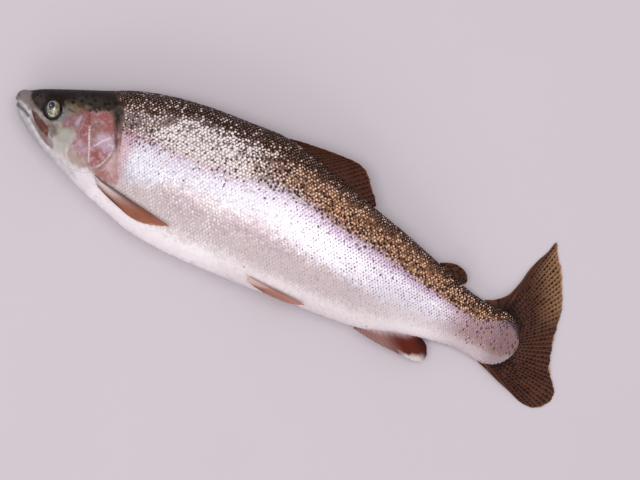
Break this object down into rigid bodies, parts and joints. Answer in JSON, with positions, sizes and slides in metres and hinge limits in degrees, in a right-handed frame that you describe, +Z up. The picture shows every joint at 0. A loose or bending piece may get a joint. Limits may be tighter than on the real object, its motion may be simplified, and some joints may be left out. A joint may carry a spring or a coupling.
{
  "type": "rainbow trout",
  "caption": "Life-size rainbow trout lying on its right side, fins folded back, with the left flank, eye, gill cover and mouth on show.",
  "frame": {"origin": "on the surface that the fish lies on, under the middle of its box", "axes": "+X from the snout to the tail, +Y from the belly to the back, +Z up out of the left flank"},
  "size_m": [0.528, 0.1436, 0.0635],
  "materials": {
    "head_skin": "wet smooth skin, olive on top, pink on the gill cover and pale on the jaw",
    "scaled_skin": "wet silver scales, spotted olive-brown back, lilac band and off-white belly",
    "eye": "clear wet cornea over a pale gold iris and a dark pupil",
    "dark_fin": "dark brown rays and webs with rows of black spots",
    "red_fin": "reddish brown rays and webs with pale bases and edges"
  },
  "bodies": {
    "root": {"head": "head_skin", "lower_jaw": "head_skin", "upper_jaw_left": "head_skin", "upper_jaw_right": "head_skin", "gill_cover_left": "head_skin", "gill_cover_right": "head_skin", "trunk_front": "scaled_skin", "trunk_middle": "scaled_skin", "trunk_rear": "scaled_skin", "tail_stalk": "scaled_skin", "eye_left": "eye", "eye_right": "eye", "dorsal_fin": "dark_fin", "adipose_fin": "dark_fin", "tail_fin": "dark_fin", "anal_fin": "red_fin", "pectoral_fin_left": "red_fin", "pectoral_fin_right": "red_fin", "pelvic_fin_left": "red_fin", "pelvic_fin_right": "red_fin"}
  },
  "joints": []
}
